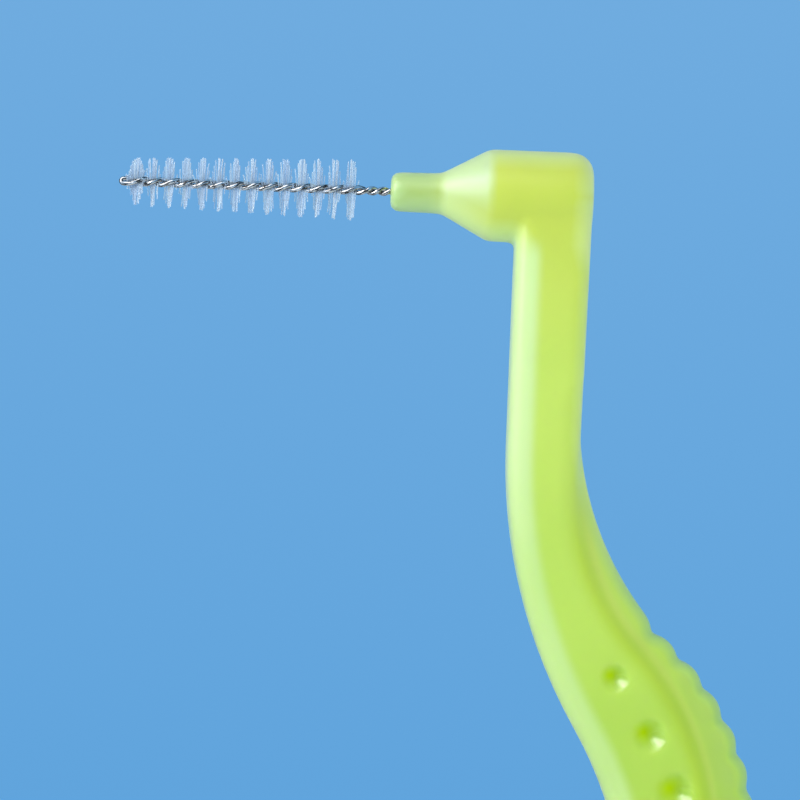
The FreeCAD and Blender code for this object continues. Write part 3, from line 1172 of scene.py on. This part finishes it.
    def sink_dimples(self, mesh: bpy.types.Mesh) -> None:
        """Gives the dimples the soft rims of the moulding, on both sides.

        Args:
            mesh: The moulding, in millimetres.
        """
        for middle, radius in self.dimples():
            rim, depth = radius * self.dimple_spread, 2 * radius * self.dimple_depth_share
            for vertex in mesh.vertices:
                x, y, z = vertex.co
                away = math.hypot(x - middle.x, z - middle.z)
                if away < rim and abs(y) > self.side_floor:
                    sunk = self.side_place - depth * step(away, (rim, 0.0))
                    vertex.co.y = math.copysign(min(abs(y), sunk), y)
        mesh.update()

    def mark_walls(self, mesh: bpy.types.Mesh) -> None:
        """Stores how thick the plastic is under each point of the moulding, in millimetres."""
        tree = BVHTree.FromPolygons([v.co for v in mesh.vertices], [p.vertices for p in mesh.polygons])
        store(mesh, "wall", [self.wall_at(tree, v.co, v.normal) for v in mesh.vertices])

    def wall_at(self, tree: BVHTree, point: Vector, normal: Vector) -> float:
        """The mean depth of plastic straight under a point and to four sides of that.

        Args:
            tree: The moulding's faces.
            point: A point of its surface.
            normal: The way out of the surface there.

        Returns:
            The depth in millimetres.
        """
        side = normal.orthogonal().normalized() * self.wall_spread
        other = normal.cross(side)
        ways = [Vector(), side, -side, other, -other]
        total = 0.0
        for way in ways:
            ray = (way - normal).normalized()
            hit = tree.ray_cast(point - normal * self.wall_step, ray, self.wall_limit)
            total += hit[3] if hit[0] is not None else self.wall_limit
        return total / len(ways)

    def mark_hollows(self, mesh: bpy.types.Mesh) -> None:
        """Stores the painted shade in the dimples and beside the crease, where the dimples are polished,
        and the painted highlight on the crease's ridge.

        Args:
            mesh: The moulding, in millimetres.
        """
        near, dimples = search_tree(self.crease.points(self.line_points)), self.dimples()
        marks = [self.hollow_at(vertex.co, near, dimples) for vertex in mesh.vertices]
        for name, values in zip(("painted_shade", "polish", "ridge_highlight"), zip(*marks)):
            store(mesh, name, values)

    def hollow_at(
        self, point: Vector, near: KDTree, dimples: list[tuple[Vector, float]]
    ) -> tuple[float, float, float]:
        """How much painted shade, polish and painted ridge highlight a point gets.

        Args:
            point: A point of the moulding.
            near: The crease's points.
            dimples: The dimples' middles and radii.

        Returns:
            The three shares, from 0 to 1.
        """
        x, y, z = point
        if abs(y) < self.crease_rise[0]:
            return 0.0, 0.0, 0.0
        place, _, away = near.find((x, 0.0, z))
        signed = away if x > place.x else -away
        fade = step(MOUTH.z - z, self.crease_drop)
        # Painted shade on the bar's side of the crease
        painted_shade = fade * self.crease_shade_weight * step(abs(signed - self.crease_shade_place), (self.crease_shade_width, 0.0))
        # Painted highlight on the crease's ridge
        ridge_highlight = fade * step(abs(signed - self.ridge_place), (self.ridge_width, 0.0))
        polish = 0.0
        # Painted shade on each dimple's upper-left wall
        for middle, radius in dimples:
            spot = (x - middle.x) / radius, (z - middle.z) / radius
            painted_shade = max(painted_shade, step(math.dist(spot, self.painted_shade_shift), (self.painted_shade_spread, 0.0)))
            polish = max(polish, step(math.dist(spot, self.polish_shift), self.polish_spread))
        return painted_shade, polish, ridge_highlight

    def mark_rims(self, mesh: bpy.types.Mesh) -> None:
        """Stores how far each point is from the outline seen from the side, and a painted highlight band
        along the front edge, where it faces the key light.

        Args:
            mesh: The moulding, in millimetres.
        """
        outline = [v for v in mesh.vertices if abs(v.co.y) < self.grid and not self.in_bore(v.co)]
        near = search_tree([Vector((v.co.x, 0.0, v.co.z)) for v in outline])
        rims, highlight_bands = [], []
        for vertex in mesh.vertices:
            number, away = near.find((vertex.co.x, 0.0, vertex.co.z))[1:]
            # Painted highlight band where the outline faces left, towards the key light
            facing = step(-outline[number].normal.x, self.band_turn)
            below = step(MOUTH.z - vertex.co.z, self.band_drop)
            rims.append(away)
            highlight_bands.append(facing * below * step(away, self.band_width))
        store(mesh, "rim", rims)
        store(mesh, "highlight_band", highlight_bands)

    def in_bore(self, point: Vector) -> bool:
        """Whether a point is in the hole that the wire is moulded into."""
        return math.hypot(point.y, point.z - MOUTH.z) < self.bore_reach and point.x > MOUTH.x + self.grid


# Studio


@dataclass(frozen=True)
class Lamp:
    """A softbox that faces the part."""

    role: LampRole
    place: tuple[float, float, float]
    size: Ends
    watts: float
    mirrored: bool = True
    spread: bool = True

    def hang(self, target: Vector) -> None:
        """Puts the lamp up.

        Args:
            target: The point that it faces, in metres.
        """
        light = bpy.data.lights.new(self.role.value, "AREA")
        light.shape = "RECTANGLE"
        light.size, light.size_y = (side * METRES_PER_MM for side in self.size)
        light.energy = self.watts
        lamp = add_object(self.role.value, light)
        lamp.visible_glossy = self.mirrored
        lamp.visible_diffuse = self.spread
        lamp.location = Vector(self.place) * METRES_PER_MM
        lamp.rotation_mode = "QUATERNION"
        lamp.rotation_quaternion = (target - lamp.location).to_track_quat("-Z", "Y")
        LOG.info("%s: %.2f W", self.role.value, self.watts)


@dataclass
class Studio:
    """Plain backdrop, pale floor, softboxes and the camera."""

    backdrop_low: Colour = (0.112, 0.366, 0.716)
    backdrop_high: Colour = (0.168, 0.418, 0.745)
    backdrop_span: float = 0.16
    ambient: float = 0.34
    floor_colour: Colour = (0.62, 0.76, 0.90)
    floor_speckle: Colour = (0.60, 0.745, 0.89)
    floor_radius: float = 225.0
    floor_fade: float = 90.0
    floor_sides: int = 96
    floor_roughness: float = 0.9
    floor_mirror: float = 0.1
    fleck_scale: float = 900.0
    fleck_ends: Ends = (0.3, 0.7)
    lens: float = 150.0
    sensor: float = 36.0
    picture_pixels: float = 800.0
    picture_scale: float = 0.0515
    picture_roll: float = 2.3
    mouth_pixel: Ends = (390.0, 191.5)
    lamp_target: tuple[float, float, float] = (-6.0, 0.0, 12.0)

    def build(self) -> None:
        """Sets up everything round the part, in plain view settings."""
        self.hang_backdrop()
        self.lay_floor()
        for lamp in self.lamps():
            lamp.hang(Vector(self.lamp_target) * METRES_PER_MM)
        self.place_camera()
        bpy.context.scene.view_settings.view_transform = "Standard"

    def lamps(self) -> list[Lamp]:
        """The studio's softboxes, with places and sizes in millimetres."""
        return [
            Lamp(LampRole.KEY, (-108.0, -56.0, 67.0), (84.0, 84.0), 0.105),
            Lamp(LampRole.STRIP, (-75.0, -75.0, 115.0), (140.0, 90.0), 0.10, spread=False),
            Lamp(LampRole.FRONT, (-20.0, -225.0, 10.0), (200.0, 200.0), 0.165, mirrored=False),
            Lamp(LampRole.FILL, (230.0, -190.0, 60.0), (220.0, 220.0), 0.31, mirrored=False),
            Lamp(LampRole.BACK, (150.0, 260.0, 170.0), (240.0, 240.0), 0.35, mirrored=False),
        ]

    def hang_backdrop(self) -> None:
        """Makes the plain blue that the camera, metal and clear pieces see, and the soft room light."""
        world = bpy.data.worlds.new("studio")
        world.use_nodes = True
        bpy.context.scene.world = world
        desk = NodeDesk(world.node_tree)
        desk.tree.nodes.clear()
        heading = desk.node("ShaderNodeTexCoord").outputs["Generated"]
        height = desk.node("ShaderNodeSeparateXYZ", {"Vector": heading}).outputs["Z"]
        share = desk.span(height, -self.backdrop_span, self.backdrop_span)
        blue = desk.fade(share, self.backdrop_low, self.backdrop_high)
        seen = desk.node("ShaderNodeBackground", {"Color": blue, "Strength": 1.0})
        room = {"Color": (1.0, 1.0, 1.0, 1.0), "Strength": self.ambient}
        soft = desk.node("ShaderNodeBackground", room)
        path = desk.node("ShaderNodeLightPath")
        direct = Field(desk, path.outputs["Is Camera Ray"])
        mirrored = Field(desk, path.outputs["Is Glossy Ray"])
        through = Field(desk, path.outputs["Is Transmission Ray"])
        shows = desk.math(Op.LEAST, direct + mirrored + through, 1.0)
        mix = desk.node("ShaderNodeMixShader")
        for socket, value in zip(mix.inputs, (shows, soft.outputs[0], seen.outputs[0])):
            desk.feed(socket, value)
        desk.node("ShaderNodeOutputWorld", {"Surface": mix.outputs[0]})

    def lay_floor(self) -> None:
        """Lays a pale round floor under the tail that fades into the backdrop."""
        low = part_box("handle")[0].z
        disc = bmesh.new()
        bmesh.ops.create_circle(
            disc, cap_ends=True, segments=self.floor_sides, radius=self.floor_radius * METRES_PER_MM
        )
        mesh = bpy.data.meshes.new("floor")
        disc.to_mesh(mesh)
        disc.free()
        mesh.transform(Matrix.Translation((0.0, 0.0, low)))
        mesh.materials.append(self.floor_finish())
        floor = add_object("floor", mesh)

    def floor_finish(self) -> bpy.types.Material:
        """The floor's matt paper, clear towards its rim.

        Returns:
            The finished material.
        """
        desk, shader = new_material("floor_paper")
        place = desk.node("ShaderNodeTexCoord").outputs["Object"]
        fleck = desk.noise(place, self.fleck_scale, SOFT_DETAIL)
        flat = desk.node("ShaderNodeVectorMath", operation="MULTIPLY")
        desk.feed(flat.inputs[0], place)
        desk.feed(flat.inputs[1], (1.0, 1.0, 0.0))
        away = desk.node("ShaderNodeVectorMath", operation="LENGTH")
        desk.feed(away.inputs[0], flat.outputs["Vector"])
        far, near = self.floor_radius * METRES_PER_MM, self.floor_fade * METRES_PER_MM
        looks = {
            "Base Color": desk.fade(fleck, self.floor_speckle, self.floor_colour, self.fleck_ends),
            "Roughness": self.floor_roughness,
            "Specular IOR Level": self.floor_mirror,
            "Alpha": desk.span(away.outputs["Value"], far, near),
        }
        desk.fill(shader, looks)
        return bpy.data.materials["floor_paper"]

    def place_camera(self) -> None:
        """Puts the camera at the picture's angle, framed so that the nozzle's mouth is on its pixel."""
        roll = math.radians(self.picture_roll)
        right = self.picture_pixels / 2 - self.mouth_pixel[0]
        down = self.picture_pixels / 2 - self.mouth_pixel[1]
        along = (right * math.cos(roll) + down * math.sin(roll)) * self.picture_scale
        up = (right * math.sin(roll) - down * math.cos(roll)) * self.picture_scale
        target = MOUTH + Vector((along, 0.0, up))
        distance = self.picture_pixels * self.picture_scale * self.lens / self.sensor
        data = bpy.data.cameras.new("camera")
        data.lens = self.lens
        data.sensor_width = self.sensor
        data.clip_start = METRES_PER_MM
        camera = add_object("camera", data)
        stand = Matrix.Translation((target - Vector((0.0, distance, 0.0))) * METRES_PER_MM)
        level = Matrix.Rotation(math.pi / 2, 4, "X")
        camera.matrix_world = stand @ level @ Matrix.Rotation(roll, 4, "Z")
        bpy.context.scene.camera = camera


def clear_stage() -> None:
    """Removes what a new file holds beside the part."""
    kept = set(frame["nodes"].values()) | set(frame["bodies"].values())
    for thing in list(bpy.data.objects):
        if thing not in kept:
            bpy.data.objects.remove(thing)


def main() -> None:
    """Dresses the part and sets up the studio."""
    logging.basicConfig(level=logging.INFO, format="%(message)s")
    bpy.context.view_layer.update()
    clear_stage()
    law = TwistLaw()
    handle = MouldedHandle().build(TranslucentPlastic().make())
    hand_over(handle, ["handle"])
    wire = WireCore(law).build(DrawnSteel().make())
    hand_over(wire, ["wire_core"])
    rows = Bristles(law).build(ClearNylon().make())
    solids = sorted(name for name in frame["nodes"] if name.startswith("bristle_row"))
    for row, name in zip(rows, solids, strict=True):
        hand_over(row, [name])
    Studio().build()


if __name__ == "__main__":
    main()
